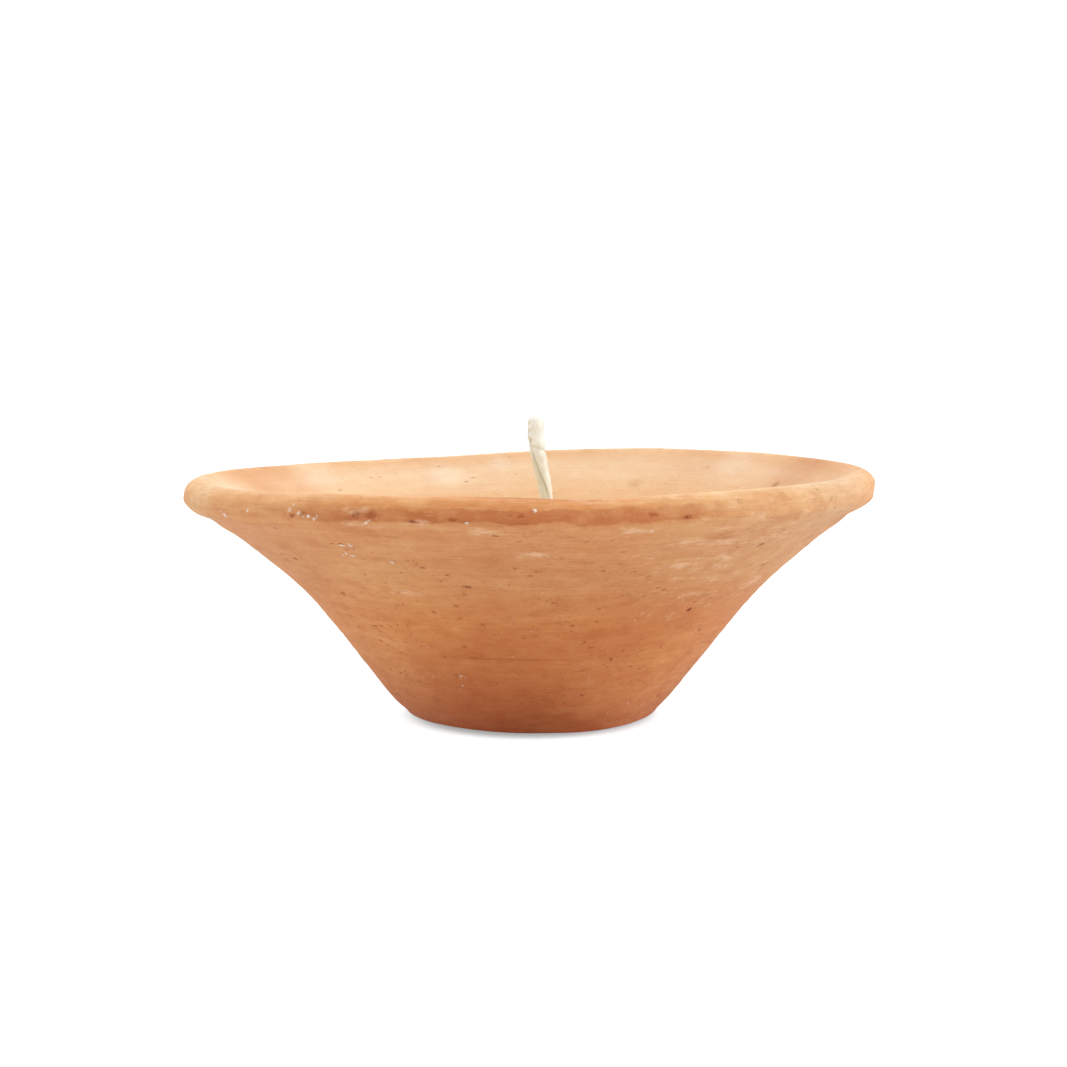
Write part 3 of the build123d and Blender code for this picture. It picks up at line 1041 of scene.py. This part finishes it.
def waxed_cotton():
    """Cream cotton stiffened with wax: fibre streaks, and painted shade in the hollows, towards the edges
    and on the back ply, so that the lit front ply is paler.
    """
    g = Graph(bpy.data.materials.new("waxed_cotton"))
    place = g.place()
    fibres = g.noise(g.scaled(place, (1.0, 1.0, 0.16)), 5200, 3.0, 0.7)
    patches = g.noise(place, 700, 2.0, 0.5)
    height = g.node("ShaderNodeSeparateXYZ", Vector=place).outputs["Z"]
    colour = g.mix(g.span(patches, 0.35, 0.65), (0.84, 0.83, 0.77), (0.91, 0.905, 0.86))
    colour = g.mix(g.span(fibres, 0.45, 0.75, 0.0, 0.30), colour, (0.71, 0.68, 0.58))
    colour = g.mix(g.span(height, rim_height, wax_high[2], 0.0, 0.5), colour, (0.84, 0.76, 0.58))
    in_stem = g.span(height, wick_top - 0.004, wick_top - 0.007)
    colour = g.tone(colour, in_stem, (0.95, 0.90, 0.83))
    # Painted shade on the back ply, in the stem
    colour = g.tone(colour, g.times(g.attribute("painted_ply_shade"), in_stem), (0.89, 0.87, 0.80))
    # Painted shade in the dents, the crease and the valley along the joint
    colour = g.tone(colour, g.span(g.attribute("hollow"), 0.02, 0.24), (0.83, 0.78, 0.68))
    # Painted shade towards the edges, where the surface turns away from the camera
    edge_shade = g.node("ShaderNodeLayerWeight", Blend=0.35).outputs["Facing"]
    colour = g.tone(colour, g.span(edge_shade, 0.3, 0.9), (0.84, 0.84, 0.82))
    bump = g.math("ADD", g.times(fibres, 0.00005), g.times(patches, 0.00004))
    return g.finish(
        colour, g.span(patches, 0.3, 0.7, 0.5, 0.75), bump,
        Subsurface_Weight=0.2, Subsurface_Radius=(0.0008, 0.0007, 0.0005), Subsurface_Scale=1.0,
        Specular_IOR_Level=0.4,
    )


def tinplate():
    """Thin pressed tinned sheet with fine rolling marks."""
    g = Graph(bpy.data.materials.new("tinplate"))
    place = g.place()
    rolling = g.noise(g.scaled(place, (1.0, 0.05, 1.0)), 4000, 2.0, 0.6)
    spangle = g.node("ShaderNodeTexVoronoi", Vector=place, Scale=350).outputs["Color"]
    colour = g.mix(0.12, (0.72, 0.72, 0.70), spangle)
    return g.finish(
        colour, g.span(rolling, 0.3, 0.7, 0.25, 0.45), g.times(rolling, 0.00001), Metallic=1.0
    )


# ---------------- stage

CAMERA_DISTANCE = 0.2609
CAMERA_HEIGHT = 0.0536
CAMERA_ASIDE = 0.0004
CAMERA_DOWN = 6.0
LENS = 59.8
SENSOR = 36.0
# Lights, as (name, place, size, power)
SOFT_BOXES = [
    ("key", (0.40, -0.42, 0.75), 0.7, 4.6),
    ("back", (-0.15, 0.40, 0.85), 0.8, 3.0),
    ("left", (-0.85, 0.0, 0.33), 0.6, 2.2),
    ("right", (0.85, 0.05, 0.33), 0.6, 2.15),
]
# The shadow in front of the foot and the thin dark edge all round it, as (centre, radius, softness)
FOOT_SHADOW = ((0, -0.0034, 0), 0.0175, 0.88)
CONTACT_SHADOW = ((0, 0, 0), 0.0182, 0.97)
OPEN_GLOW = 0.90  # how brightly the paper glows for the camera away from the shadow
SHADOW_GLOW = 0.36
PAPER_REACH = 12


def make_camera():
    camera = bpy.data.objects.new("camera", bpy.data.cameras.new("camera"))
    camera.data.lens = LENS
    camera.data.sensor_width = SENSOR
    camera.data.clip_start = 0.01
    camera.location = (CAMERA_ASIDE, -CAMERA_DISTANCE, CAMERA_HEIGHT)
    camera.rotation_euler = (math.radians(90 - CAMERA_DOWN), 0, 0)
    bpy.context.scene.collection.objects.link(camera)
    bpy.context.scene.camera = camera


def area_light(name, place, size, power):
    """A soft box that faces the bowl."""
    light = bpy.data.lights.new(name, "AREA")
    light.shape = "SQUARE"
    light.size = size
    light.energy = power
    obj = bpy.data.objects.new(name, light)
    obj.location = place
    aim = Vector((0, 0, rim_height / 2)) - Vector(place)
    obj.rotation_euler = aim.to_track_quat("-Z", "Y").to_euler()
    bpy.context.scene.collection.objects.link(obj)


def white_world():
    """A white room, dimmer behind the camera. The camera itself sees plain white."""
    world = bpy.data.worlds.new("white_room")
    bpy.context.scene.world = world
    g = Graph(world)
    direction = g.node("ShaderNodeTexCoord").outputs["Generated"]
    parts = g.node("ShaderNodeSeparateXYZ", Vector=direction)
    front = g.span(parts.outputs["Y"], -0.9, 0.3, 0.44, 0.80)
    strength = g.times(front, g.span(parts.outputs["Z"], 0.3, 1.0, 1.0, 0.85))
    seen = g.node("ShaderNodeLightPath").outputs["Is Camera Ray"]
    strength = g.math("MAXIMUM", strength, g.times(seen, 1.2))
    background = g.node("ShaderNodeBackground", Color=(1, 1, 1, 1), Strength=strength)
    output = g.node("ShaderNodeOutputWorld")
    g.tree.links.new(background.outputs[0], output.inputs["Surface"])


def floor_paper():
    """White paper. The camera sees it brighter than it lights the clay, except in a painted shadow close
    round the foot.
    """
    g = Graph(bpy.data.materials.new("floor_paper"))
    place = g.place()
    fibres = g.noise(place, 400, 2.0)
    colour = g.mix(g.span(fibres, 0.3, 0.7), (0.86, 0.86, 0.87), (0.90, 0.90, 0.90))
    seen = g.node("ShaderNodeLightPath").outputs["Is Camera Ray"]
    colour = g.tone(colour, seen, (0.40, 0.40, 0.40))
    matt = g.node("ShaderNodeBsdfDiffuse", Color=colour)
    # The painted shadow: the paper glows less round the foot
    painted_shadow = g.math("MAXIMUM", g.near(place, *FOOT_SHADOW), g.near(place, *CONTACT_SHADOW))
    brightness = g.span(painted_shadow, 0.0, 1.0, OPEN_GLOW, SHADOW_GLOW, linear=True)
    strength = g.times(seen, brightness)
    glow = g.node("ShaderNodeEmission", Color=(0.93, 0.99, 1, 1), Strength=strength)
    both = g.node("ShaderNodeAddShader")
    g.tree.links.new(matt.outputs[0], both.inputs[0])
    g.tree.links.new(glow.outputs[0], both.inputs[1])
    output = g.node("ShaderNodeOutputMaterial")
    g.tree.links.new(both.outputs[0], output.inputs["Surface"])
    return g.owner


def make_floor():
    mesh = bpy.data.meshes.new("floor")
    corners = [(x * PAPER_REACH, y * PAPER_REACH, 0) for x, y in ((-1, -1), (1, -1), (1, 1), (-1, 1))]
    mesh.from_pydata(corners, [], [(0, 1, 2, 3)])
    floor = bpy.data.objects.new("floor", mesh)
    floor.data.materials.append(floor_paper())
    bpy.context.scene.collection.objects.link(floor)


bowl = build_bowl()
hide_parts("bowl")
bowl.data.materials.append(terracotta())

wax_piece = build_wax(bowl)
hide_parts("wax_fill")
wax_piece.data.materials.append(wax())

cotton = waxed_cotton()
build_ply("ply_front", "wick_ply_1", 0, 0.0).data.materials.append(cotton)
# The back ply is given painted shade
build_ply("ply_back", "wick_ply_2", 180, 1.0).data.materials.append(cotton)

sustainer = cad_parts["wick_sustainer"]
sustainer.data.materials.clear()
sustainer.data.materials.append(tinplate())

make_floor()
make_camera()
for soft_box in SOFT_BOXES:
    area_light(*soft_box)
white_world()
bpy.context.scene.view_settings.view_transform = "Standard"
